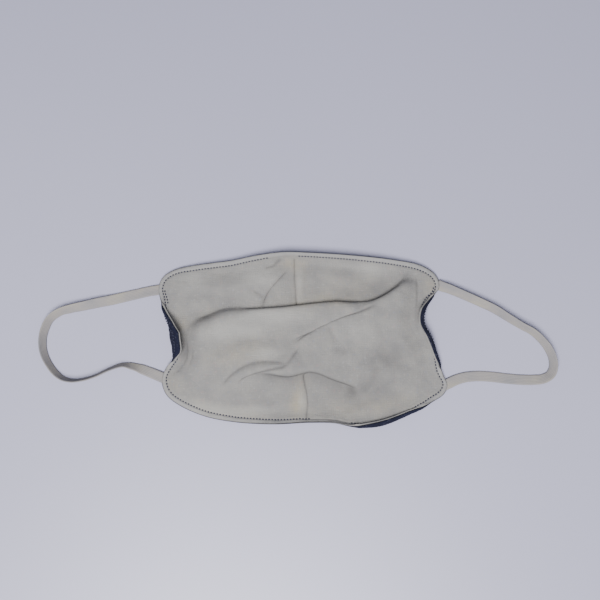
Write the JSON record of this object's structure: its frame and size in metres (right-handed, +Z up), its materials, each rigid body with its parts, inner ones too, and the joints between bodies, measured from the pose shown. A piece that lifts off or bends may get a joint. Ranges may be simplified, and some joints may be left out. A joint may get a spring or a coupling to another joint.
{
  "type": "cloth face mask",
  "caption": "Reusable darted cotton face mask lying inside up, with a dark shell, a cream lining and flat elastic ear loops.",
  "frame": {"origin": "on the surface that the mask lies on, under the middle of the panel", "axes": "+Z up out of the inside of the mask, +X towards the right ear loop, +Y towards the nose edge"},
  "size_m": [0.3755, 0.1296, 0.013],
  "materials": {
    "cream_cotton": "plain weave cotton, worn soft",
    "navy_cotton": "plain weave cotton",
    "grey_elastic": "flat braided elastic"
  },
  "bodies": {
    "root": {"lining": "cream_cotton", "outer_shell": "navy_cotton", "ear_loop_left": "grey_elastic", "ear_loop_right": "grey_elastic"}
  },
  "joints": []
}
